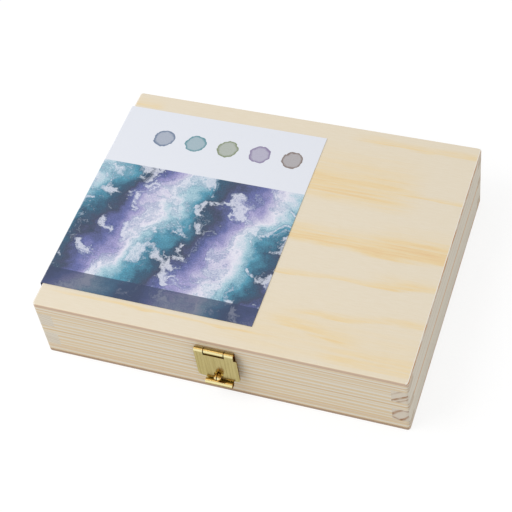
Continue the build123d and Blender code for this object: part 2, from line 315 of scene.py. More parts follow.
@dataclass(frozen=True)
class PineBoard(BareWood):
    """Pine, planed and sanded, without varnish: dull, with fine late-wood lines along the fibres, and with
    dark rings or strokes where the fibres are cut across. A brown seam marks the joint of lid and base,
    partly the joint's own line and partly painted shade of its eased edges."""

    grain: Grain = Grain.ALONG_X
    pith: tuple[float, float] = (0.0, -150.0)
    ring_spacing: float = 2.3
    late_wood: tuple[float, float, float] = (0.12, 0.5, 0.86)
    ring_jitter: float = 0.9
    jitters_per_ring: float = 0.45
    picks_per_ring: float = 0.8
    ring_shares: tuple[float, float] = (0.55, 1.1)
    ring_edge: tuple[float, float] = (0.2, 0.6)
    wander: float = 1.6
    wander_width: float = 9.0
    wander_length: float = 90.0
    early: str = "#E0DBCF"
    late: str = "#DBC7A8"
    line_strength: float = 1.0
    veins: tuple[Vein, ...] = ()
    vein_wander: float = 2.0
    vein_colour: str = "#C99A64"
    cut_early: str = "#D8CDBC"
    cut_late: str = "#A9805C"
    cut_rings: tuple[CutRing, ...] = ()
    cut_strokes: tuple[CutStroke, ...] = ()
    cut_turn: tuple[float, float] = (0.55, 0.75)
    patches_per_mm: float = 0.3
    patch_edges: tuple[float, float] = (0.4, 0.6)
    patch_share: float = 0.45
    pores_per_mm: float = 3.0
    pore_strength: float = 0.16
    joint_width: float = 0.6
    joint_strength: float = 0.5
    joint_colour: str = "#B07E4C"
    fibres_across: float = 2.2
    fibres_along: float = 0.03

    def paint(self, tree: Tree, shader: Node) -> None:
        """Paints the long faces, the cut ends and the seam, with fibres over all of them.

        Args:
            tree: The material's node tree.
            shader: Its shader.
        """
        place = add(tree, "ShaderNodeSeparateXYZ", {0: self.position(tree)})
        facing = self.facing(tree)
        drift = self.speckle(tree, self.by_grain(1 / self.wander_width, 1 / self.wander_length))
        drift = add(tree, "ShaderNodeMath", {0: drift, 1: NOISE_MIDDLE}, operation="SUBTRACT")
        radius = self.radius(tree, place, drift)
        rings = self.rings(tree, radius)
        ends = add(tree, "ShaderNodeMath", {0: facing.outputs[self.grain.value]}, operation="ABSOLUTE")
        ends = add(tree, "ShaderNodeMapRange", {0: ends, 1: self.cut_turn[0], 2: self.cut_turn[1]})
        colour = self.long_face(tree, place, drift, rings)
        for share, coat in ((ends, self.cut_end(tree, radius, rings)),
                            (self.seam(tree, place, facing), linear(self.joint_colour))):
            colour = add(tree, "ShaderNodeMix", {0: share, 6: colour, 7: coat}, data_type="RGBA")
        fibre = self.speckle(tree, self.by_grain(self.fibres_across, self.fibres_along), detail=3.0,
                             roughness=0.6)
        self.sand(tree, shader, colour, fibre)

    def by_grain(self, across: float, along: float) -> list[float]:
        """Gives X, Y and Z scales: one along the fibres and the other across them."""
        return [along if axis == self.grain.value else across for axis in range(3)]

    def radius(self, tree: Tree, place: Node, drift: Node) -> Node:
        """Adds the distance from the pith, which wanders a little along the board.

        Args:
            tree: The node tree.
            place: The position's parts.
            drift: The slow noise that it wanders with.

        Returns:
            The node with the distance.
        """
        across = add(tree, "ShaderNodeMath",
                     {0: place.outputs[1 - self.grain.value], 1: self.pith[0]}, operation="SUBTRACT")
        height = add(tree, "ShaderNodeMath", {0: place.outputs[2], 1: self.pith[1]}, operation="SUBTRACT")
        section = add(tree, "ShaderNodeCombineXYZ", {0: across, 1: height})
        length = add(tree, "ShaderNodeVectorMath", {0: section}, operation="LENGTH")
        return add(tree, "ShaderNodeMath", {0: drift, 1: self.wander, 2: length.outputs["Value"]},
                   operation="MULTIPLY_ADD")

    def rings(self, tree: Tree, radius: Node) -> Node:
        """Adds uneven yearly rings: each darkens slowly and ends sharply, and some are paler than others.

        Args:
            tree: The node tree.
            radius: The distance from the pith.

        Returns:
            The node with the late wood's share.
        """
        years = add(tree, "ShaderNodeMath", {0: radius, 1: self.ring_spacing}, operation="DIVIDE")
        uneven = add(tree, "ShaderNodeTexNoise", {"W": years, "Scale": self.jitters_per_ring,
                                                   "Detail": 1.0}, noise_dimensions="1D")
        years = add(tree, "ShaderNodeMath", {0: uneven, 1: self.ring_jitter, 2: years},
                    operation="MULTIPLY_ADD")
        phase = add(tree, "ShaderNodeMath", {0: years}, operation="FRACT")
        late_start, late_full, late_end = self.late_wood
        rise = add(tree, "ShaderNodeMapRange", {0: phase, 1: late_start, 2: late_full},
                   interpolation_type="SMOOTHSTEP")
        fall = add(tree, "ShaderNodeMapRange", {0: phase, 1: late_end, 2: 1.0, 3: 1.0, 4: 0.0},
                   interpolation_type="SMOOTHSTEP")
        line = add(tree, "ShaderNodeMath", {0: rise, 1: fall}, operation="MULTIPLY")
        pick = add(tree, "ShaderNodeTexNoise", {"W": years, "Scale": self.picks_per_ring, "Detail": 0.0},
                   noise_dimensions="1D")
        palest, darkest = self.ring_shares
        pick = add(tree, "ShaderNodeMapRange",
                   {0: pick, 1: NOISE_LOW, 2: NOISE_HIGH, 3: palest, 4: darkest})
        return add(tree, "ShaderNodeMath", {0: line, 1: pick}, operation="MULTIPLY")

    def long_face(self, tree: Tree, place: Node, drift: Node, rings: Node) -> Node:
        """Paints the faces along the fibres with late-wood lines and veins.

        Args:
            tree: The node tree.
            place: The position's parts.
            drift: The slow noise that the veins wander with.
            rings: The late wood's share.

        Returns:
            The node with the colour.
        """
        shown = add(tree, "ShaderNodeMath", {0: rings, 1: self.line_strength}, operation="MULTIPLY")
        colour = add(tree, "ShaderNodeMix", {0: shown, 6: linear(self.early), 7: linear(self.late)},
                     data_type="RGBA")
        for vein in self.veins:
            gap = add(tree, "ShaderNodeMath", {0: place.outputs[2], 1: vein.height}, operation="SUBTRACT")
            gap = add(tree, "ShaderNodeMath", {0: drift, 1: self.vein_wander, 2: gap},
                      operation="MULTIPLY_ADD")
            share = self.band(tree, gap, vein.width, vein.strength)
            colour = add(tree, "ShaderNodeMix", {0: share, 6: colour, 7: linear(self.vein_colour)},
                         data_type="RGBA")
        return colour

    def cut_end(self, tree: Tree, radius: Node, rings: Node) -> Node:
        """Paints the ends: open pores, and either the few dark marks given or the yearly rings.

        Args:
            tree: The node tree.
            radius: The distance from the pith.
            rings: The late wood's share.

        Returns:
            The node with the colour.
        """
        dark = self.cut_marks(tree, radius) if self.cut_rings or self.cut_strokes else rings
        cut = add(tree, "ShaderNodeMix", {0: dark, 6: linear(self.cut_early), 7: linear(self.cut_late)},
                  data_type="RGBA")
        pores = self.speckle(tree, [self.pores_per_mm] * 3)
        return add(tree, "ShaderNodeMix", {0: self.pore_strength, 6: cut, 7: pores}, data_type="RGBA",
                   blend_type="OVERLAY")

    def cut_marks(self, tree: Tree, radius: Node) -> Node:
        """Adds the rings and strokes of the cut ends. A ring starts softly and ends sharply.

        Args:
            tree: The node tree.
            radius: The distance from the pith.

        Returns:
            The node with the late wood's share.
        """
        total: Value = 0.0
        edge_start, edge_end = self.ring_edge
        for ring in self.cut_rings:
            inside = add(tree, "ShaderNodeMapRange",
                         {0: radius, 1: ring.radius - ring.width, 2: ring.radius, 4: ring.strength},
                         interpolation_type="SMOOTHSTEP")
            outside = add(tree, "ShaderNodeMapRange", {0: radius, 1: ring.radius + edge_start,
                                                       2: ring.radius + edge_end, 3: 1.0, 4: 0.0},
                          interpolation_type="SMOOTHSTEP")
            mark = add(tree, "ShaderNodeMath", {0: inside, 1: outside}, operation="MULTIPLY")
            total = add(tree, "ShaderNodeMath", {0: mark, 1: total}, operation="MAXIMUM")
        for stroke in self.cut_strokes:
            mark = self.stroke(tree, stroke)
            total = add(tree, "ShaderNodeMath", {0: mark, 1: total}, operation="MAXIMUM")
        patchy = self.speckle(tree, [self.patches_per_mm] * 3, detail=1.0)
        patch_low, patch_high = self.patch_edges
        patchy = add(tree, "ShaderNodeMapRange",
                     {0: patchy, 1: patch_low, 2: patch_high, 3: self.patch_share, 4: 1.0})
        return add(tree, "ShaderNodeMath", {0: total, 1: patchy}, operation="MULTIPLY")

    def stroke(self, tree: Tree, one: CutStroke) -> Node:
        """Adds one stroke, by the distance to the straight line between its ends.

        Args:
            tree: The node tree.
            one: The stroke.

        Returns:
            The node with the stroke's share.
        """
        run = Vector((one.end_x - one.x, 0.0, one.end_z - one.z))
        place = add(tree, "ShaderNodeVectorMath",
                    {0: self.position(tree), 1: (1.0, 0.0, 1.0), 2: (-one.x, 0.0, -one.z)},
                    operation="MULTIPLY_ADD")
        share = add(tree, "ShaderNodeVectorMath", {0: place, 1: run / run.length_squared},
                    operation="DOT_PRODUCT")
        share = add(tree, "ShaderNodeMath", {0: share.outputs["Value"], 1: 0.0}, operation="ADD",
                    use_clamp=True)
        nearest = add(tree, "ShaderNodeCombineXYZ", {0: share, 1: share, 2: share})
        nearest = add(tree, "ShaderNodeVectorMath", {0: nearest, 1: run}, operation="MULTIPLY")
        off = add(tree, "ShaderNodeVectorMath", {0: place, 1: nearest}, operation="DISTANCE")
        return self.band(tree, off.outputs["Value"], one.width, one.strength)

    def seam(self, tree: Tree, place: Node, facing: Node) -> Node:
        """Adds the seam at the joint of lid and base, on upright faces only: partly the joint's own line,
        partly painted shade of its eased edges.

        Args:
            tree: The node tree.
            place: The position's parts.
            facing: The parts of the way that the surface faces.

        Returns:
            The node with the seam's share.
        """
        gap = add(tree, "ShaderNodeMath", {0: place.outputs[2], 1: JOINT}, operation="SUBTRACT")
        line = self.band(tree, gap, self.joint_width, self.joint_strength)
        level = add(tree, "ShaderNodeMath", {0: facing.outputs[2]}, operation="ABSOLUTE")
        upright = add(tree, "ShaderNodeMapRange", {0: level, 1: EDGE_START, 2: EDGE_FULL, 3: 1.0, 4: 0.0})
        return add(tree, "ShaderNodeMath", {0: line, 1: upright}, operation="MULTIPLY")

    def band(self, tree: Tree, gap: Value, width: float, strength: float) -> Node:
        """Adds a soft line where a gap is zero.

        Args:
            tree: The node tree.
            gap: The distance from the line's middle.
            width: Half its width.
            strength: How much of it shows.

        Returns:
            The node with the line's share.
        """
        off = add(tree, "ShaderNodeMath", {0: gap}, operation="ABSOLUTE")
        return add(tree, "ShaderNodeMapRange", {0: off, 1: 0.0, 2: width, 3: strength, 4: 0.0},
                   interpolation_type="SMOOTHSTEP")


@dataclass(frozen=True)
class Flame:
    """One broad streak of late wood on a rotary-cut veneer. X and Y give its middle, and reach half its
    length. It begins within its onset, a share of its width, fades out over its width and, along its
    length, from its waning on. It climbs by its rise and bends by its bow at its right end."""

    x: float
    y: float
    reach: float
    width: float
    rise: float = 0.0
    bow: float = 0.0
    depth: float = 0.8
    onset: float = 0.3
    waning: float = 0.45


@dataclass(frozen=True)
class FacedPlywood(BareWood):
    """Pine-faced plywood, sanded, without varnish: a pale dull face with soft yellow flames, and an edge
    where the middle ply shows as a brown stripe at the front and the face ply as brown dots at the side.
    The eased edges beside the face get a painted highlight, for the light that they catch."""

    fibre_strength: float = 0.16
    fibre_depth: float = 0.02
    fibre_relief: float = 0.5
    roughness: float = 0.62
    underside: float = 0.0
    thickness: float = 2.5
    veneer: float = 0.34
    rim: float = 0.9
    ply_softness: float = 0.08
    rim_softness: float = 0.1
    clouds: tuple[float, float, float] = (1 / 30, 1 / 9, 1 / 9)
    strands: tuple[float, float, float] = (1 / 45, 0.8, 0.8)
    fibres: tuple[float, float, float] = (0.14, 1.5, 1.5)
    mottling: tuple[float, float, float] = (0.12, 0.12, 1.2)
    cloud_warp: float = 7.0
    cloud_edges: tuple[float, float] = (0.52, 0.75)
    cloud_share: float = 0.5
    strand_warp: float = 2.0
    strand_edges: tuple[float, float] = (0.34, 0.62)
    strand_shares: tuple[float, float] = (0.3, 1.25)
    flame_full: float = 0.75
    deep_edges: tuple[float, float] = (0.65, 1.2)
    deep_share: float = 0.7
    mottle_edges: tuple[float, float] = (0.36, 0.54)
    eased_between: tuple[float, float] = (0.12, 0.6)
    eased_above: float = 0.3
    pale: str = "#E5D9C3"
    flame: str = "#E9D2A5"
    deep: str = "#E5C293"
    core_end: str = "#CBB099"
    core_side: str = "#D8CFC0"
    veneer_long: str = "#E3D3B4"
    veneer_end: str = "#C98840"
    painted_edge_highlight: str = "#F1EBDF"
    flames: tuple[Flame, ...] = ()

    def paint(self, tree: Tree, shader: Node) -> None:
        """Paints the flames on the face, the plies on the edge and a painted highlight on the eased edges
        between them.

        Args:
            tree: The material's node tree.
            shader: Its shader.
        """
        place = add(tree, "ShaderNodeSeparateXYZ", {0: self.position(tree)})
        facing = self.facing(tree)
        sideways = add(tree, "ShaderNodeMath", {0: facing.outputs[0]}, operation="ABSOLUTE")
        to_side = add(tree, "ShaderNodeMapRange", {0: sideways, 1: EDGE_START, 2: EDGE_FULL})
        to_front = add(tree, "ShaderNodeMath", {0: facing.outputs[1]}, operation="ABSOLUTE")
        to_front = add(tree, "ShaderNodeMapRange", {0: to_front, 1: EDGE_START, 2: EDGE_FULL})
        is_edge = add(tree, "ShaderNodeMath", {0: to_front, 1: to_side}, operation="MAXIMUM")
        # Painted highlight: eased edges that face up and partly sideways get a pale colour.
        edge_highlight = add(tree, "ShaderNodeMath", {0: facing.outputs[2], 1: self.eased_above},
                    operation="GREATER_THAN")
        for limit, side in zip(self.eased_between, ("GREATER_THAN", "LESS_THAN")):
            held = add(tree, "ShaderNodeMath", {0: sideways, 1: limit}, operation=side)
            edge_highlight = add(tree, "ShaderNodeMath", {0: edge_highlight, 1: held}, operation="MULTIPLY")
        colour = self.face(tree, place)
        for share, coat in ((is_edge, self.edge(tree, place, to_front, to_side)),
                            (edge_highlight, linear(self.painted_edge_highlight))):
            colour = add(tree, "ShaderNodeMix", {0: share, 6: colour, 7: coat}, data_type="RGBA")
        self.sand(tree, shader, colour, self.speckle(tree, self.fibres, detail=4.0, roughness=0.7))

    def face(self, tree: Tree, place: Node) -> Node:
        """Paints the sheet's face with its flames, or with faint clouds where it has none.

        Args:
            tree: The node tree.
            place: The position's parts.

        Returns:
            The node with the colour.
        """
        clouds = self.speckle(tree, self.clouds, detail=3.0)
        strands = self.speckle(tree, self.strands, detail=4.0, roughness=0.7)
        shift = add(tree, "ShaderNodeMath", {0: clouds, 1: self.cloud_warp, 2: -self.cloud_warp / 2},
                    operation="MULTIPLY_ADD")
        shift = add(tree, "ShaderNodeMath", {0: strands, 1: self.strand_warp, 2: shift},
                    operation="MULTIPLY_ADD")
        across = add(tree, "ShaderNodeMath", {0: place.outputs[1], 1: shift}, operation="ADD")
        total: Value = 0.0
        for one in self.flames:
            total = self.streak(tree, place.outputs[0], across, one, total)
        if not self.flames:
            start, full = self.cloud_edges
            total = add(tree, "ShaderNodeMapRange", {0: clouds, 1: start, 2: full, 4: self.cloud_share})
        start, full = self.strand_edges
        thin, thick = self.strand_shares
        broken = add(tree, "ShaderNodeMapRange", {0: strands, 1: start, 2: full, 3: thin, 4: thick})
        streaks = add(tree, "ShaderNodeMath", {0: total, 1: broken}, operation="MULTIPLY")
        shown = add(tree, "ShaderNodeMapRange", {0: streaks, 1: 0.0, 2: self.flame_full})
        start, full = self.deep_edges
        strong = add(tree, "ShaderNodeMapRange", {0: streaks, 1: start, 2: full, 4: self.deep_share})
        colour: Value = linear(self.pale)
        for share, tone in ((shown, self.flame), (strong, self.deep)):
            colour = add(tree, "ShaderNodeMix", {0: share, 6: colour, 7: linear(tone)}, data_type="RGBA")
        return colour

    def streak(self, tree: Tree, along: Value, across: Value, one: Flame, total: Value) -> Node:
        """Adds one flame to the sum of those before it.

        Args:
            tree: The node tree.
            along: The position along the fibres.
            across: The warped position across them.
            one: The flame.
            total: The sum so far.

        Returns:
            The new sum.
        """
        run = add(tree, "ShaderNodeMapRange",
                  {0: along, 1: one.x - one.reach, 2: one.x + one.reach, 3: -1.0, 4: 1.0}, clamp=False)
        slope = add(tree, "ShaderNodeMath", {0: run, 1: one.bow, 2: one.rise}, operation="MULTIPLY_ADD")
        centre = add(tree, "ShaderNodeMath", {0: run, 1: slope, 2: one.y}, operation="MULTIPLY_ADD")
        off = add(tree, "ShaderNodeMath", {0: across, 1: centre}, operation="SUBTRACT")
        upper = add(tree, "ShaderNodeMapRange", {0: off, 1: 0.0, 2: one.width, 3: 1.0, 4: 0.0},
                    interpolation_type="SMOOTHSTEP")
        lower = add(tree, "ShaderNodeMapRange", {0: off, 1: -one.onset * one.width, 2: 0.0},
                    interpolation_type="SMOOTHSTEP")
        band = add(tree, "ShaderNodeMath", {0: upper, 1: lower}, operation="MULTIPLY")
        away = add(tree, "ShaderNodeMath", {0: run}, operation="ABSOLUTE")
        fade = add(tree, "ShaderNodeMapRange", {0: away, 1: one.waning, 2: 1.0, 3: one.depth, 4: 0.0},
                   interpolation_type="SMOOTHSTEP")
        return add(tree, "ShaderNodeMath", {0: band, 1: fade, 2: total}, operation="MULTIPLY_ADD")

    def edge(self, tree: Tree, place: Node, to_front: Node, to_side: Node) -> Node:
        """Paints the plies along the sheet's edges.

        Args:
            tree: The node tree.
            place: The position's parts.
            to_front: How far the surface faces the front or the back.
            to_side: How far it faces a side.

        Returns:
            The node with the colour.
        """
        level = add(tree, "ShaderNodeMath", {0: place.outputs[2], 1: self.underside}, operation="SUBTRACT")
        middle = self.thickness / 2
        off_middle = add(tree, "ShaderNodeMath", {0: level, 1: middle}, operation="SUBTRACT")
        off_middle = add(tree, "ShaderNodeMath", {0: off_middle}, operation="ABSOLUTE")
        glue = middle - self.veneer
        core = add(tree, "ShaderNodeMapRange", {0: off_middle, 1: glue - self.ply_softness,
                                                2: glue + self.ply_softness, 3: 1.0, 4: 0.0})
        core_colour = add(tree, "ShaderNodeMix",
                          {0: to_front, 6: linear(self.core_side), 7: linear(self.core_end)},
                          data_type="RGBA")
        mottle = self.speckle(tree, self.mottling, detail=3.0)
        mottle = add(tree, "ShaderNodeMapRange",
                     {0: mottle, 1: self.mottle_edges[0], 2: self.mottle_edges[1]})
        veneer = add(tree, "ShaderNodeMix",
                     {0: mottle, 6: linear(self.core_side), 7: linear(self.veneer_end)}, data_type="RGBA")
        start = self.thickness - self.rim
        rim = add(tree, "ShaderNodeMapRange",
                  {0: level, 1: start - self.rim_softness, 2: start + self.rim_softness})
        rim = add(tree, "ShaderNodeMath", {0: rim, 1: to_side}, operation="MULTIPLY")
        colour: Value = linear(self.veneer_long)
        for share, coat in ((to_side, veneer), (core, core_colour), (rim, veneer)):
            colour = add(tree, "ShaderNodeMix", {0: share, 6: colour, 7: coat}, data_type="RGBA")
        return colour


@dataclass(frozen=True)
class DividerPly(BareWood):
    """Thin poplar plywood, sanded: pale and even, with its three plies along the top edge."""

    fibre_strength: float = 0.12
    fibre_depth: float = 0.02
    roughness: float = 0.7
    middles: tuple[float, ...] = ()
    face: str = "#DCCDB0"
    core: str = "#B89B74"
    core_half: float = 0.6
    core_softness: float = 0.1
    fibres: tuple[float, float, float] = (1.8, 0.04, 1.8)

    def paint(self, tree: Tree, shader: Node) -> None:
        """Paints a darker ply down the middle of each slat's edges.

        Args:
            tree: The material's node tree.
            shader: Its shader.
        """
        place = add(tree, "ShaderNodeSeparateXYZ", {0: self.position(tree)})
        core: Value = 0.0
        for middle in self.middles:
            off = add(tree, "ShaderNodeMath", {0: place.outputs[0], 1: middle}, operation="SUBTRACT")
            off = add(tree, "ShaderNodeMath", {0: off}, operation="ABSOLUTE")
            inside = add(tree, "ShaderNodeMapRange",
                         {0: off, 1: self.core_half - self.core_softness,
                          2: self.core_half + self.core_softness, 3: 1.0, 4: 0.0})
            core = add(tree, "ShaderNodeMath", {0: inside, 1: core}, operation="MAXIMUM")
        colour = add(tree, "ShaderNodeMix", {0: core, 6: linear(self.face), 7: linear(self.core)},
                     data_type="RGBA")
        self.sand(tree, shader, colour, self.speckle(tree, self.fibres, detail=3.0))


@dataclass(frozen=True)
class PrintedCard(Finish):
    """Coated card printed with loose granulating washes: a faint sheen, cool white where it is bare."""

    top: float
    picture_back: float
    strip_back: float
    dab_row: float
    dab_start: float = -66.0
    dab_pitch: float = 17.0
    dab_radius: float = 5.4
    dab_wobble: float = 2.4
    wobbles_per_mm: float = 0.35
    dab_grain: float = 0.3
    dab_shares: tuple[float, float] = (0.55, 0.95)
    dab_rim: float = 1.6
    dab_softness: float = 0.15
    edge_softness: float = 0.06
    bare: str = "#E3E6EE"
    strip: str = "#2B3A5C"
    strip_strength: float = 0.78
    glaze: str = "#8FB7CC"
    lifted: str = "#E4E5F0"
    roughness: float = 0.4
    tooth_per_mm: float = 1.5
    tooth_depth: float = 0.01
    tooth_relief: float = 0.3
    tooth_edges: tuple[float, float] = (0.35, 0.7)
    tooth_tones: tuple[float, float] = (0.2, 0.85)
    bleed_size: float = 26.0
    bleed_reach: float = 22.0
    bloom_size: float = 13.0
    bloom_edges: tuple[float, float] = (0.53, 0.60)
    bloom_share: float = 0.75
    rim_start: float = 0.49
    rim_share: float = 0.45
    settling: float = 0.45
    slant: tuple[float, float, float] = (0.93, -0.36, 0.0)
    band_width: float = 46.0
    bands: tuple[tuple[float, str], ...] = (
        (0.0, "#E3E2EE"), (0.12, "#A9C9D6"), (0.26, "#4E93AC"), (0.40, "#2C5570"),
        (0.52, "#3A4460"), (0.66, "#6068A0"), (0.80, "#9C98C6"), (1.0, "#E3E2EE"))

    def paint(self, tree: Tree, shader: Node) -> None:
        """Paints the bare panel with its dabs, the washes, and the dark strip in front of them.

        Args:
            tree: The material's node tree.
            shader: Its shader.
        """
        place = add(tree, "ShaderNodeSeparateXYZ", {0: self.position(tree)})
        fold = add(tree, "ShaderNodeMath", {0: place.outputs[2], 1: self.top}, operation="SUBTRACT")
        along = add(tree, "ShaderNodeMath", {0: place.outputs[0], 1: fold}, operation="ADD")
        flat = add(tree, "ShaderNodeCombineXYZ", {0: along, 1: place.outputs[1]})
        grains = add(tree, "ShaderNodeTexNoise", {"Vector": flat, "Scale": self.tooth_per_mm,
                                                  "Detail": 3.0, "Roughness": 0.7})
        soft = self.edge_softness
        in_picture, in_strip = (
            add(tree, "ShaderNodeMapRange",
                {0: place.outputs[1], 1: back - soft, 2: back + soft, 3: 1.0, 4: 0.0})
            for back in (self.picture_back, self.strip_back))
        in_strip = add(tree, "ShaderNodeMath", {0: in_strip, 1: self.strip_strength}, operation="MULTIPLY")
        colour = self.dabs(tree, flat, grains)
        for share, coat in ((in_picture, self.washes(tree, flat, grains)), (in_strip, linear(self.strip))):
            colour = add(tree, "ShaderNodeMix", {0: share, 6: colour, 7: coat}, data_type="RGBA")
        tree.links.new(colour.outputs[2], shader.inputs["Base Color"])
        shader.inputs["Roughness"].default_value = self.roughness
        self.relief(tree, shader, grains, self.tooth_depth, self.tooth_relief)

    def washes(self, tree: Tree, flat: Node, grains: Node) -> Node:
        """Adds bands of colour that bleed into each other, with blooms and settled pigment.

        Args:
            tree: The node tree.
            flat: The position on the unfolded card.
            grains: The paper's tooth.

        Returns:
            The node with the colour.
        """
        bleed = add(tree, "ShaderNodeTexNoise", {"Vector": flat, "Scale": 1 / self.bleed_size,
                                                 "Detail": 5.0, "Roughness": 0.6})
        reach = Vector((self.bleed_reach, self.bleed_reach, 0.0))
        bleed = add(tree, "ShaderNodeVectorMath", {0: bleed.outputs["Color"], 1: 2 * reach, 2: -reach},
                    operation="MULTIPLY_ADD")
        bent = add(tree, "ShaderNodeVectorMath", {0: flat, 1: bleed}, operation="ADD")
        across = add(tree, "ShaderNodeVectorMath", {0: bent, 1: self.slant}, operation="DOT_PRODUCT")
        band = add(tree, "ShaderNodeMath", {0: across.outputs["Value"], 1: self.band_width},
                   operation="DIVIDE")
        band = add(tree, "ShaderNodeMath", {0: band}, operation="FRACT")
        colour = add(tree, "ShaderNodeValToRGB", {0: band})
        stops = colour.color_ramp.elements
        while len(stops) < len(self.bands):
            stops.new(1.0)
        for stop, (position, tone) in zip(stops, self.bands):
            stop.position = position
            stop.color = linear(tone)
        bloom = add(tree, "ShaderNodeTexNoise", {"Vector": bent, "Scale": 1 / self.bloom_size,
                                                 "Detail": 4.0, "Roughness": 0.62})
        start, full = self.bloom_edges
        lifted = add(tree, "ShaderNodeMapRange", {0: bloom, 1: start, 2: full, 4: self.bloom_share})
        rim = add(tree, "ShaderNodeMapRange", {0: bloom, 1: self.rim_start, 2: start})
        rim = add(tree, "ShaderNodeMath", {0: rim, 1: lifted}, operation="SUBTRACT")
        rim = add(tree, "ShaderNodeMapRange", {0: rim, 1: 0.0, 2: 1.0, 4: self.rim_share})
        start, full = self.tooth_edges
        dark, light = self.tooth_tones
        settled = add(tree, "ShaderNodeMapRange", {0: grains, 1: start, 2: full, 3: dark, 4: light})
        for share, coat, blend in ((lifted, linear(self.lifted), "MIX"),
                                   (rim, linear(self.glaze), "MULTIPLY"),
                                   (self.settling, settled, "OVERLAY")):
            colour = add(tree, "ShaderNodeMix", {0: share, 6: colour, 7: coat}, data_type="RGBA",
                         blend_type=blend)
        return colour

    def dabs(self, tree: Tree, flat: Node, grains: Node) -> Node:
        """Adds one round dab for each paint in the box on the bare panel.

        Args:
            tree: The node tree.
            flat: The position on the unfolded card.
            grains: The paper's tooth.

        Returns:
            The node with the panel's colour.
        """
        wobble = add(tree, "ShaderNodeTexNoise", {"Vector": flat, "Scale": self.wobbles_per_mm,
                                                  "Detail": 3.0})
        grainy = add(tree, "ShaderNodeMath", {0: grains, 1: self.dab_grain, 2: -self.dab_grain / 2},
                     operation="MULTIPLY_ADD")
        thin, thick = self.dab_shares
        soft = self.dab_softness
        panel: Value = linear(self.bare)
        for index, pigment in enumerate(Pigment):
            middle = (self.dab_start + index * self.dab_pitch, self.dab_row, 0.0)
            off = add(tree, "ShaderNodeVectorMath", {0: flat, 1: middle}, operation="DISTANCE")
            off = add(tree, "ShaderNodeMath", {0: wobble, 1: self.dab_wobble, 2: off.outputs["Value"]},
                      operation="MULTIPLY_ADD")
            off = add(tree, "ShaderNodeMath", {0: off, 1: self.dab_wobble / 2}, operation="SUBTRACT")
            inside = add(tree, "ShaderNodeMapRange", {0: off, 1: self.dab_radius - soft,
                                                      2: self.dab_radius + soft, 3: 1.0, 4: 0.0})
            edge = add(tree, "ShaderNodeMapRange",
                       {0: off, 1: self.dab_radius - self.dab_rim, 2: self.dab_radius, 3: thin, 4: thick},
                       interpolation_type="SMOOTHSTEP")
            edge = add(tree, "ShaderNodeMath", {0: edge, 1: grainy}, operation="ADD")
            shown = add(tree, "ShaderNodeMath", {0: inside, 1: edge}, operation="MULTIPLY")
            panel = add(tree, "ShaderNodeMix", {0: shown, 6: panel, 7: linear(pigment.value)},
                        data_type="RGBA")
        return panel


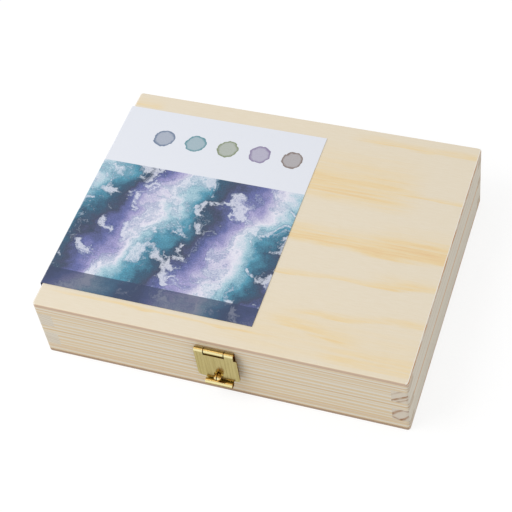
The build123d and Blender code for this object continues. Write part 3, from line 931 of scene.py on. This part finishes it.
@dataclass(frozen=True)
class Brass(Finish):
    """Brass under thin clear lacquer: yellow metal that tans where it turns away from the eye. Brushed
    sheet has lines along its height, here 0.7 mm apart, coarser than real ones so that they show. Faces
    turned sideways, such as cut edges and roll ends, get painted shade. What faces up gets a painted
    highlight, the upper edges of the rolls a painted brown reflection of the wood, and the crevices
    painted shade. Turned pieces are smooth."""

    colour: str = "#C6BB89"
    line_colour: str = "#9A8C5A"
    edge_shade_colour: str = "#8F7338"
    painted_highlight_colour: str = "#F2E7B0"
    upper_reflection_colour: str = "#7A5812"
    crevice_shade_colour: str = "#5A421C"
    grazing_tint: str = "#A07A3C"
    lacquer: float = 0.08
    lacquer_roughness: float = 0.12
    crevice_shade: float = 0.2
    crevice: float = 0.9
    roughness: float = 0.2
    brushed: float = 1.0
    lines: tuple[float, float, float] = (1.4, 1.4, 0.025)
    line_edges: tuple[float, float] = (0.42, 0.72)
    line_share: float = 0.55
    line_roughness: float = 0.08
    line_depth: float = 0.006
    line_relief: float = 0.5
    edge_shade_turn: tuple[float, float] = (0.6, 0.9)
    edge_shade_share: float = 0.8
    painted_highlight_turn: tuple[float, float] = (0.05, 0.35)
    crevice_edges: tuple[float, float] = (0.15, 0.6)
    upper_reflection_turn: tuple[float, float] = (0.2, 0.45)
    front_turn: tuple[float, float] = (-0.75, -0.5)
    back_turn: tuple[float, float] = (0.2, 0.5)
    upper_reflection_share: float = 0.9

    def paint(self, tree: Tree, shader: Node) -> None:
        """Paints the metal and its brushed lines, with painted shade on sideways faces and in crevices, a
        painted highlight where it faces up and a painted reflection on its upper edges.

        Args:
            tree: The material's node tree.
            shader: Its shader.
        """
        lines = self.speckle(tree, self.lines, detail=3.0, roughness=0.6)
        facing = self.facing(tree)
        start, full = self.line_edges
        brushing = add(tree, "ShaderNodeMapRange",
                       {0: lines, 1: start, 2: full, 4: self.line_share * self.brushed})
        # Painted shade: faces turned sideways, such as cut edges and roll ends, are darkened.
        ends = add(tree, "ShaderNodeMath", {0: facing.outputs[0]}, operation="ABSOLUTE")
        start, full = self.edge_shade_turn
        ends = add(tree, "ShaderNodeMapRange", {0: ends, 1: start, 2: full, 4: self.edge_shade_share * self.brushed})
        # Painted highlight: a pale colour where the surface faces up, standing for the lamp's reflection on
        # rolls and ball.
        start, full = self.painted_highlight_turn
        painted_highlight = add(tree, "ShaderNodeMapRange", {0: facing.outputs[2], 1: start, 2: full})
        # Painted shade: ambient occlusion darkens the metal in its crevices.
        open_sky = add(tree, "ShaderNodeAmbientOcclusion", {"Distance": self.crevice * MM}, samples=8)
        start, full = self.crevice_edges
        crevice_shade_share = add(tree, "ShaderNodeMapRange",
                     {0: open_sky.outputs["AO"], 1: start, 2: full, 3: self.crevice_shade, 4: 0.0})
        colour: Value = linear(self.colour)
        for share, tone in ((brushing, self.line_colour), (ends, self.edge_shade_colour),
                            (painted_highlight, self.painted_highlight_colour), (self.painted_upper_reflection(tree, facing), self.upper_reflection_colour),
                            (crevice_shade_share, self.crevice_shade_colour)):
            colour = add(tree, "ShaderNodeMix", {0: share, 6: colour, 7: linear(tone)}, data_type="RGBA")
        tree.links.new(colour.outputs[2], shader.inputs["Base Color"])
        rough = add(tree, "ShaderNodeMapRange",
                    {0: lines, 1: NOISE_LOW, 2: NOISE_HIGH, 3: self.roughness,
                     4: self.roughness + self.line_roughness * self.brushed})
        tree.links.new(rough.outputs[0], shader.inputs["Roughness"])
        shader.inputs["Metallic"].default_value = 1.0
        shader.inputs["Specular Tint"].default_value = linear(self.grazing_tint)
        shader.inputs["Coat Weight"].default_value = self.lacquer
        shader.inputs["Coat Roughness"].default_value = self.lacquer_roughness
        self.relief(tree, shader, lines, self.line_depth, self.line_relief * self.brushed)

    def painted_upper_reflection(self, tree: Tree, facing: Node) -> Node:
        """Gives the share of the painted reflection on the upper edges: what faces up, but neither the front
        nor the back.

        Args:
            tree: The node tree.
            facing: The parts of the way that the surface faces.

        Returns:
            The node with the share.
        """
        # Painted reflection: the wood above is painted into the rolls' upper edges as brown.
        start, full = self.upper_reflection_turn
        upward = add(tree, "ShaderNodeMapRange", {0: facing.outputs[2], 1: start, 2: full})
        start, full = self.front_turn
        not_front = add(tree, "ShaderNodeMapRange",
                        {0: facing.outputs[1], 1: start, 2: full, 4: self.upper_reflection_share})
        start, full = self.back_turn
        not_back = add(tree, "ShaderNodeMapRange",
                       {0: facing.outputs[1], 1: start, 2: full, 3: 1.0, 4: 0.0})
        share = add(tree, "ShaderNodeMath", {0: upward, 1: not_front}, operation="MULTIPLY")
        return add(tree, "ShaderNodeMath", {0: share, 1: not_back}, operation="MULTIPLY")


@dataclass(frozen=True)
class TubeEnamel(Finish):
    """White enamel baked on drawn aluminium: smooth and a little glossy, with a printed band and rules in
    the paint's colour, and bare rolled metal at the shoulder and the crimp."""

    pigment: Pigment = Pigment.TEAL
    middle: float = 0.0
    white: str = "#EDEDEA"
    metal: str = "#C9CACC"
    ink: str = "#3A3D44"
    shoulder_end: float = -30.45
    print_start: float = -29.0
    print_end: float = 44.0
    bare_from: float = 50.5
    band: float = 17.0
    end_band: float = 6.4
    rule: float = 0.6
    rule_gap: float = 1.2
    end_rule_gap: float = 1.0
    label_margin: float = 3.0
    label_half_width: float = 5.5
    text_start: float = 22.0
    text_pitch: float = 3.2
    text_height: float = 0.45
    text_half_width: float = 6.5
    text_indent: float = 1.1
    text_rows: int = 4
    print_softness: float = 0.05
    enamel_edge: float = 0.2
    handling: tuple[float, float, float] = (0.5, 0.12, 0.5)
    handling_depth: float = 0.05
    handling_relief: float = 0.4
    roughness: tuple[float, float] = (0.26, 0.4)

    def paint(self, tree: Tree, shader: Node) -> None:
        """Paints the enamel, the printed bands and the bare ends.

        Args:
            tree: The material's node tree.
            shader: Its shader.
        """
        place = add(tree, "ShaderNodeSeparateXYZ", {0: self.position(tree)})
        along = place.outputs[1]
        off = add(tree, "ShaderNodeMath", {0: place.outputs[0], 1: self.middle}, operation="SUBTRACT")
        off = add(tree, "ShaderNodeMath", {0: off}, operation="ABSOLUTE")
        start, end = self.print_start, self.print_end
        rule = start + self.band + self.rule_gap
        end_rule = end - self.end_band - self.end_rule_gap
        label = (start + self.label_margin, start + self.band - self.label_margin)
        prints = [(self.pigment.value, (along, start, start + self.band)),
                  (self.pigment.value, (along, rule, rule + self.rule)),
                  (self.ink, (along, end_rule - self.rule, end_rule)),
                  (self.pigment.value, (along, end - self.end_band, end)),
                  (self.white, (along, *label), (off, -1.0, self.label_half_width))]
        for row in range(self.text_rows):
            low = start + self.text_start + self.text_pitch * row
            half_width = self.text_half_width - self.text_indent * (row % 2)
            prints.append((self.ink, (along, low, low + self.text_height), (off, -1.0, half_width)))
        colour: Value = linear(self.white)
        for tone, *limits in prints:
            colour = self.patch(tree, colour, tone, limits)
        bare_tail = add(tree, "ShaderNodeMapRange",
                        {0: along, 1: self.bare_from, 2: self.bare_from + self.enamel_edge})
        bare_neck = add(tree, "ShaderNodeMapRange",
                        {0: along, 1: self.shoulder_end - self.print_softness,
                         2: self.shoulder_end + self.print_softness, 3: 1.0, 4: 0.0})
        bare = add(tree, "ShaderNodeMath", {0: bare_tail, 1: bare_neck}, operation="MAXIMUM")
        colour = add(tree, "ShaderNodeMix", {0: bare, 6: colour, 7: linear(self.metal)}, data_type="RGBA")
        tree.links.new(colour.outputs[2], shader.inputs["Base Color"])
        tree.links.new(bare.outputs[0], shader.inputs["Metallic"])
        handling = self.speckle(tree, self.handling, detail=3.0)
        smooth, dull = self.roughness
        rough = add(tree, "ShaderNodeMapRange",
                    {0: handling, 1: NOISE_LOW, 2: NOISE_HIGH, 3: smooth, 4: dull})
        tree.links.new(rough.outputs[0], shader.inputs["Roughness"])
        self.relief(tree, shader, handling, self.handling_depth, self.handling_relief)

    def patch(self, tree: Tree, under: Value, tone: str,
              limits: Sequence[tuple[Value, float, float]]) -> Node:
        """Prints a tone where every limit holds.

        Args:
            tree: The node tree.
            under: The colour below.
            tone: The printed colour.
            limits: Positions with the lowest and highest value printed on.

        Returns:
            The node with the new colour.
        """
        soft = self.print_softness
        share: Value = 1.0
        for position, low, high in limits:
            above = add(tree, "ShaderNodeMapRange", {0: position, 1: low - soft, 2: low + soft})
            below = add(tree, "ShaderNodeMapRange",
                        {0: position, 1: high - soft, 2: high + soft, 3: 1.0, 4: 0.0})
            inside = add(tree, "ShaderNodeMath", {0: above, 1: below}, operation="MULTIPLY")
            share = add(tree, "ShaderNodeMath", {0: inside, 1: share}, operation="MULTIPLY")
        return add(tree, "ShaderNodeMix", {0: share, 6: under, 7: linear(tone)}, data_type="RGBA")


@dataclass(frozen=True)
class MouldedCap(Finish):
    """Black polypropylene, injection moulded: soft sheen over a very fine texture."""

    colour: str = "#1D1D20"
    grains_per_mm: float = 4.0
    grain_depth: float = 0.01
    grain_tint: float = 0.12
    roughness: tuple[float, float] = (0.4, 0.55)

    def paint(self, tree: Tree, shader: Node) -> None:
        """Paints the plastic with slightly uneven gloss.

        Args:
            tree: The material's node tree.
            shader: Its shader.
        """
        texture = self.speckle(tree, [self.grains_per_mm] * 3)
        tone = add(tree, "ShaderNodeMix", {0: self.grain_tint, 6: linear(self.colour), 7: texture},
                   data_type="RGBA", blend_type="OVERLAY")
        tree.links.new(tone.outputs[2], shader.inputs["Base Color"])
        smooth, dull = self.roughness
        rough = add(tree, "ShaderNodeMapRange", {0: texture, 3: smooth, 4: dull})
        tree.links.new(rough.outputs[0], shader.inputs["Roughness"])
        self.relief(tree, shader, texture, self.grain_depth)


def dress(names: Iterable[str], finish: Finish) -> None:
    """Gives CAD nodes a finish.

    Args:
        names: The nodes.
        finish: Their finish.
    """
    for name in names:
        mesh = frame["nodes"][name].data
        mesh.materials.clear()
        mesh.materials.append(finish.material())


RIGHT_SIDE = PineBoard("pine_right", grain=Grain.ALONG_Y, early="#E0DACC", line_strength=0.25,
                       fibre_strength=0.06, joint_strength=1.0, joint_width=1.0, joint_colour="#D08F46")


@dataclass
class Case:
    """The base and the lid: boards, panels and dividers."""

    front: PineBoard = PineBoard("pine_front", pith=(-25.0, -150.0), early="#E1DBCE", late="#DBC39C",
                                 cut_late="#C2AE94", veins=(Vein(5.8, 0.8, 0.45), Vein(33.6, 0.5, 0.5)),
                                 joint_strength=0.25)
    back: PineBoard = PineBoard("pine_back", pith=(110.0, -90.0), ring_spacing=2.8, cut_late="#C4B196")
    left: PineBoard = PineBoard("pine_left", grain=Grain.ALONG_Y, pith=(-60.0, 120.0), ring_spacing=1.3,
                                line_strength=0.5, cut_early="#DED6C7", cut_late="#D0C4B1")
    lid_right: PineBoard = replace(
        RIGHT_SIDE, name="pine_lid_right", pith=(101.4, 2.6), cut_late="#9C7048", vein_colour="#B79470",
        veins=(Vein(31.4, 0.9, 0.3), Vein(26.8, 0.8, 0.3)),
        cut_rings=(CutRing(25.8, 1.1, 0.65), CutRing(28.0, 1.5, 0.9), CutRing(31.6, 1.1, 0.4)))
    base_right: PineBoard = replace(
        RIGHT_SIDE, name="pine_base_right", pith=(86.1, 12.0), cut_early="#D5CABA", cut_late="#96602A",
        vein_colour="#C79A6A", veins=(Vein(10.6, 0.7, 0.25), Vein(1.0, 1.2, 0.7)),
        cut_strokes=(CutStroke(82.0, 11.1, 84.2, 14.0, 1.3, 1.3), CutStroke(84.2, 14.0, 86.8, 16.1, 1.3, 1.5),
                     CutStroke(86.8, 16.1, 89.8, 15.5, 1.0, 1.0), CutStroke(82.0, 9.4, 85.4, 7.7, 1.0, 1.0),
                     CutStroke(85.4, 7.7, 87.6, 9.0, 1.2, 1.4), CutStroke(87.6, 9.0, 89.4, 11.4, 1.0, 1.0)))
    lid_panel: FacedPlywood = FacedPlywood("plywood_lid", flames=(
        Flame(66, 63.5, 44, 6, depth=0.75), Flame(34, 30, 40, 34, depth=0.75),
        Flame(30, 26, 30, 9, depth=0.12), Flame(80, 34, 28, 3, depth=0.75),
        Flame(56, -2.6, 78, 13, rise=-1.0, depth=0.95), Flame(92, 3.0, 46, 15, depth=0.5),
        Flame(50, -22, 62, 4.5, rise=4, depth=0.7), Flame(80, -19, 26, 8, depth=0.35),
        Flame(64, -42, 42, 5, rise=3.5, depth=0.6), Flame(42, -54, 26, 7, rise=-3, depth=0.5),
        Flame(74, -66.0, 30, 12, depth=0.4), Flame(50, -62, 70, 34, depth=0.26),
        # The last flame here is no late wood: it is a painted shadow under the card's front edge.
        Flame(-84, 64, 12, 6, depth=0.5), Flame(-30, -60.0, 62, 2.2, depth=0.75)))
    # The base's edge plies are darker than the lid's: partly their own colour, partly painted shade where the
    # bottom edge meets the floor.
    base_panel: FacedPlywood = FacedPlywood("plywood_base", core_end="#AD937C", veneer_long="#C9A878")

    def dress(self) -> None:
        """Dresses every wooden node."""
        for side, finish in (("front", self.front), ("back", self.back), ("left", self.left)):
            dress((f"base_{side}_board", f"lid_{side}_board"), finish)
        dress(["lid_right_board"], self.lid_right)
        dress(["base_right_board"], self.base_right)
        for node, finish in (("lid_panel", self.lid_panel), ("base_panel", self.base_panel)):
            low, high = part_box(node)
            dress([node], replace(finish, underside=low.z / MM, thickness=(high.z - low.z) / MM))
        slats = [name for name in frame["nodes"] if name.startswith("tube_divider")]
        middles = tuple(sum(corner.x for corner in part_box(name)) / 2 / MM for name in slats)
        dress(slats, DividerPly("divider_ply", middles=middles))
        log.info("case, lid and %d dividers dressed", len(slats))


@dataclass
class Card:
    """The printed card on the lid: a bare panel at the back, a picture and a dark strip at the front."""

    panel: float = 37.9
    strip: float = 10.0
    dabs_in: float = 18.0

    def dress(self) -> None:
        """Dresses the card, with its parts set out from its own edges."""
        low, high = (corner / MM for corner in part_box("label_card"))
        dress(["label_card"], PrintedCard("wash_printed_card", top=high.z, picture_back=high.y - self.panel,
                                          strip_back=low.y + self.strip, dab_row=high.y - self.dabs_in))
        log.info("card dressed")


@dataclass
class BrassWork:
    """The front catch, the back hinges and their nails."""

    sheet: Brass = Brass("brushed_sheet_brass")
    # On the hinges and the turned pieces the painted reflection on the upper edges is a painted highlight
    # tone.
    hinges: Brass = Brass("brushed_hinge_brass", upper_reflection_colour="#D9C77C")
    keeper: Brass = Brass("bright_keeper_brass", colour="#C9AB5E", line_colour="#A8883C")
    turned: Brass = Brass("polished_turned_brass", colour="#B98A2E", painted_highlight_colour="#F6E7AE",
                          upper_reflection_colour="#A8781E", roughness=0.1, brushed=0.0)
    nails: Brass = Brass("struck_brass_nails", colour="#C6AC60", roughness=0.26, brushed=0.3)

    def dress(self) -> None:
        """Dresses the leaves, the pins, the stud and the nails."""
        names = list(frame["nodes"])
        dress([n for n in names if n.endswith(("_base_leaf", "_lid_leaf"))], self.hinges)
        dress(["catch_leaf", "catch_flap"], self.sheet)
        dress(["catch_keeper"], self.keeper)
        dress([n for n in names if n.endswith("_pin") or n == "catch_stud"], self.turned)
        dress([n for n in names if n.endswith("_nails")], self.nails)
        log.info("catch and hinges dressed")


@dataclass(frozen=True)
class Ring:
    """One cross-section of a tube: its place along Y, its half width and half height, and how full it is.
    A fullness of 2 is an ellipse, less is a lens with sharper sides, and more is a rounded bar."""

    y: float
    half_width: float
    half_height: float
    fullness: float = 2.0


@dataclass
class Tubes:
    """The five paint tubes and their caps. Each tube is a soft metal sleeve: neck, shoulder cone, bead,
    round body drawn flat towards its end, and a ribbed crimp folded over."""

    neck_radius: float = 4.4
    neck_in_cap: float = 2.0
    collar: float = 1.2
    collar_step: float = 0.1
    radius: float = 9.4
    bead: float = 0.35
    bead_length: float = 1.2
    bead_ease: float = 0.15
    shoulder: float = 4.0
    shoulder_gap: float = 0.3
    shoulder_chamfer: tuple[float, float] = (0.5, 0.7)
    body_steps: int = 12
    taper: float = 62.0
    taper_steps: int = 34
    taper_fullness: float = 1.65
    widening: float = 1.1
    flattening: float = 1.15
    crimp: float = 8.0
    crimp_half_width: float = 14.7
    crimp_half_height: float = 0.72
    crimp_fullness: float = 7.0
    crimp_fold: float = 0.16
    crimp_margin: float = 0.1
    flat_share: float = 0.6
    ribs: int = 7
    rib_depth: float = 0.12
    rib_steps: int = 8
    dent_depth: float = 0.45
    dent_size: float = 15.0
    dent_stride: float = 7.3
    undented_front: float = 12.0
    undented_end: float = 11.0
    dent_fade_front: float = 10.0
    dent_fade_end: float = 8.0
    segments: int = 72
    sharp_from: float = 40.0

    def build(self) -> None:
        """Builds each tube around its CAD solid and dresses it and its cap."""
        for index, pigment in enumerate(Pigment, 1):
            node = f"paint_tube_{index}"
            low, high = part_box(node)
            middle = (low + high) / 2 / MM
            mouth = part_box(f"tube_cap_{index}")[1].y / MM
            finish = TubeEnamel(f"baked_enamel_{pigment.name.lower()}", pigment=pigment, middle=middle.x)
            rings = self.neck_and_body(mouth, high.y / MM) + self.tail(high.y / MM)
            tube = self.sleeve(f"tube_of_{pigment.name.lower()}", rings, middle, index)
            tube.data.materials.append(finish.material())
            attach(tube, "case")
            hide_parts(node)
            dress([f"tube_cap_{index}"], MouldedCap("moulded_cap"))
            log.info("paint tube %d in %s", index, pigment.name.lower())

    def neck_and_body(self, mouth: float, end: float) -> list[Ring]:
        """Gives a tube's cross-sections from the neck to the end of its round body.

        Args:
            mouth: Y of the cap's mouth.
            end: Y of the crimp's end.

        Returns:
            The cross-sections in order.
        """
        foot = mouth + self.shoulder_gap
        edge = foot + self.shoulder
        bead_back = edge + self.bead_length
        round_end = end - self.crimp - self.taper
        back, inward = self.shoulder_chamfer
        rings = [Ring(y, r, r) for y, r in (
            (mouth - self.neck_in_cap, self.neck_radius), (foot, self.neck_radius),
            (foot + self.collar_step, self.neck_radius + self.collar),
            (edge - back, self.radius - inward),
            (edge, self.radius), (edge + self.bead_ease, self.radius + self.bead),
            (bead_back - self.bead_ease, self.radius + self.bead), (bead_back, self.radius))]
        for step in range(1, self.body_steps):
            y = bead_back + (round_end - bead_back) * step / self.body_steps
            rings.append(Ring(y, self.radius, self.radius))
        return rings

    def tail(self, end: float) -> list[Ring]:
        """Gives a tube's cross-sections along the taper and the ribbed crimp.

        Args:
            end: Y of the crimp's end.

        Returns:
            The cross-sections in order.
        """
        rings = []
        crimp_start = end - self.crimp
        flat_height = self.crimp_half_height * self.flat_share
        for step in range(self.taper_steps + 1):
            share = step / self.taper_steps
            width = self.radius + (self.crimp_half_width - self.radius) * share ** self.widening
            height = self.radius - (self.radius - flat_height) * share ** self.flattening
            fullness = 2.0 - (2.0 - self.taper_fullness) * share
            rings.append(Ring(crimp_start - self.taper * (1 - share), width, height, fullness))
        steps = self.ribs * self.rib_steps
        for step in range(steps + 1):
            wave = math.cos(2 * math.pi * step / self.rib_steps) * self.rib_depth / 2
            y = crimp_start + self.crimp_margin + (self.crimp - 2 * self.crimp_margin) * step / steps
            fold = self.crimp_fold if step > steps / 2 else 0.0
            rings.append(Ring(y, self.crimp_half_width, self.crimp_half_height - fold + wave,
                              self.crimp_fullness))
        return rings

    def sleeve(self, name: str, rings: Sequence[Ring], middle: Vector, seed: int) -> bpy.types.Object:
        """Skins the cross-sections and dents the soft metal a little.

        Args:
            name: The object's name.
            rings: The cross-sections.
            middle: The middle of the tube's CAD solid; X and Z are the tube's axis.
            seed: Which part of the dents' noise it gets.

        Returns:
            The tube's object.
        """
        build = bmesh.new()
        rows = [self.row(build, ring, self.softness(ring.y, rings[0].y, rings[-1].y), middle, seed)
                for ring in rings]
        for front, back in zip(rows, rows[1:]):
            for step in range(self.segments):
                after = (step + 1) % self.segments
                build.faces.new((front[step], back[step], back[after], front[after]))
        build.faces.new(rows[0])
        build.faces.new(list(reversed(rows[-1])))
        bmesh.ops.recalc_face_normals(build, faces=build.faces)
        for face in build.faces:
            face.smooth = True
        mesh = bpy.data.meshes.new(name)
        build.to_mesh(mesh)
        build.free()
        mesh.set_sharp_from_angle(angle=math.radians(self.sharp_from))
        return show(name, mesh)

    def softness(self, y: float, first: float, last: float) -> float:
        """Gives how far the metal dents at a place, with none at the two stiff ends.

        Args:
            y: The place along the tube.
            first: Y of the first cross-section.
            last: Y of the last one.

        Returns:
            A share from 0 to 1.
        """
        from_front = (y - first - self.undented_front) / self.dent_fade_front
        from_end = (last - self.undented_end - y) / self.dent_fade_end
        return min(1.0, max(0.0, from_front), max(0.0, from_end))

    def row(self, build: bmesh.types.BMesh, ring: Ring, soft: float, middle: Vector,
            seed: int) -> list[bmesh.types.BMVert]:
        """Adds one cross-section's vertices, pressed in where the metal is dented.

        Args:
            build: The mesh that gets them.
            ring: The cross-section.
            soft: How far the metal dents here.
            middle: The middle of the tube's CAD solid.
            seed: Which part of the dents' noise it gets.

        Returns:
            The vertices in order.
        """
        made = []
        power = 2 / ring.fullness
        for step in range(self.segments):
            angle = 2 * math.pi * step / self.segments
            across, up = math.cos(angle), math.sin(angle)
            x = math.copysign(abs(across) ** power, across) * ring.half_width
            z = math.copysign(abs(up) ** power, up) * ring.half_height
            sample = Vector((x, ring.y, z)) / self.dent_size + Vector((self.dent_stride * seed, 0, 0))
            dent = max(0.0, noise.noise(sample)) * self.dent_depth * soft
            shrink = 1 - dent / max(ring.half_height, 1.0)
            place = Vector((middle.x + x * shrink, ring.y, middle.z + z * shrink))
            made.append(build.verts.new(place * MM))
        return made


@dataclass
class Studio:
    """Pale floor, soft light and the camera at the photograph's angle."""

    azimuth: float = 26.198
    elevation: float = 50.977
    roll: float = -9.865
    distance: float = 696.0
    aside: float = -5.283
    above: float = 9.560
    lens: float = 98.53
    sensor_width: float = 36.0
    nearest: float = 10.0
    farthest: float = 50000.0
    floor_size: float = 4000.0
    floor_colour: str = "#EFEFEF"
    floor_shaded: str = "#848484"
    floor_glow: float = 0.80
    world_light: float = 0.695
    world_seen: float = 1.0
    lamp_place: tuple[float, float, float] = (-500.0, -350.0, 900.0)
    lamp_size: float = 600.0
    lamp_watts: float = 4.4

    def build(self) -> None:
        """Builds the floor, the world, the lamp and the camera."""
        self.build_floor()
        self.build_world()
        self.build_lamp()
        self.build_camera()
        log.info("studio built")

    def build_camera(self) -> None:
        """Places the camera where the photograph was taken from."""
        turn, lift, roll = (math.radians(a) for a in (self.azimuth, self.elevation, self.roll))
        back = Vector((math.sin(turn) * math.cos(lift), -math.cos(turn) * math.cos(lift), math.sin(lift)))
        right = Vector((0, 0, 1)).cross(back).normalized()
        up = back.cross(right)
        data = bpy.data.cameras.new("photo_camera")
        data.lens = self.lens
        data.sensor_width = self.sensor_width
        data.clip_start = self.nearest * MM
        data.clip_end = self.farthest * MM
        camera = show("photo_camera", data)
        level = right * math.cos(roll) + up * math.sin(roll)
        camera.matrix_world = Matrix((level, back.cross(level), back)).transposed().to_4x4()
        camera.location = (back * self.distance + right * self.aside + up * self.above) * MM
        bpy.context.scene.camera = camera

    def seen(self, tree: Tree) -> Node:
        """Gives 1 to the camera's rays and to the metal's reflections, and 0 to the light itself.

        Args:
            tree: The node tree.

        Returns:
            The node with the share.
        """
        path = add(tree, "ShaderNodeLightPath").outputs
        return add(tree, "ShaderNodeMath", {0: path["Is Camera Ray"], 1: path["Is Glossy Ray"]},
                   operation="ADD")

    def build_floor(self) -> None:
        """Builds the floor, white to the camera but still shaded under the box."""
        half = self.floor_size * MM / 2
        mesh = bpy.data.meshes.new("floor")
        mesh.from_pydata([(-half, -half, 0), (half, -half, 0), (half, half, 0), (-half, half, 0)], [],
                         [(0, 1, 2, 3)])
        show("floor", mesh)
        made = bpy.data.materials.new("pale_floor")
        tree = empty_tree(made)
        paper = add(tree, "ShaderNodeBsdfDiffuse", {"Color": linear(self.floor_colour)})
        shaded = add(tree, "ShaderNodeBsdfDiffuse", {"Color": linear(self.floor_shaded)})
        glow = add(tree, "ShaderNodeEmission", {"Strength": self.floor_glow})
        bright = add(tree, "ShaderNodeAddShader", {0: shaded, 1: glow})
        both = add(tree, "ShaderNodeMixShader", {0: self.seen(tree), 1: paper, 2: bright})
        add(tree, "ShaderNodeOutputMaterial", {"Surface": both})
        mesh.materials.append(made)

    def build_world(self) -> None:
        """Builds the world: an even light, and white where it is seen."""
        world = bpy.data.worlds.new("studio_world")
        bpy.context.scene.world = world
        tree = empty_tree(world)
        strength = add(tree, "ShaderNodeMapRange", {0: self.seen(tree), 3: self.world_light,
                                                    4: self.world_seen})
        even = add(tree, "ShaderNodeBackground", {"Color": linear("#FFFFFF"), "Strength": strength})
        add(tree, "ShaderNodeOutputWorld", {"Surface": even})

    def build_lamp(self) -> None:
        """Adds one broad square lamp that faces the box from the front left."""
        place = Vector(self.lamp_place)
        data = bpy.data.lights.new("key_lamp", "AREA")
        data.size = self.lamp_size * MM
        data.energy = self.lamp_watts
        lamp = show("key_lamp", data)
        lamp.location = place * MM
        lamp.rotation_mode = "QUATERNION"
        lamp.rotation_quaternion = place.to_track_quat("Z", "Y")


def main() -> None:
    """Builds and dresses the box, piece by piece, then the studio."""
    logging.basicConfig(level=logging.INFO, format="%(name)s: %(message)s")
    bpy.context.scene.view_settings.view_transform = "Standard"
    Case().dress()
    BrassWork().dress()
    Card().dress()
    Tubes().build()
    Studio().build()


if __name__ == "__main__":
    main()
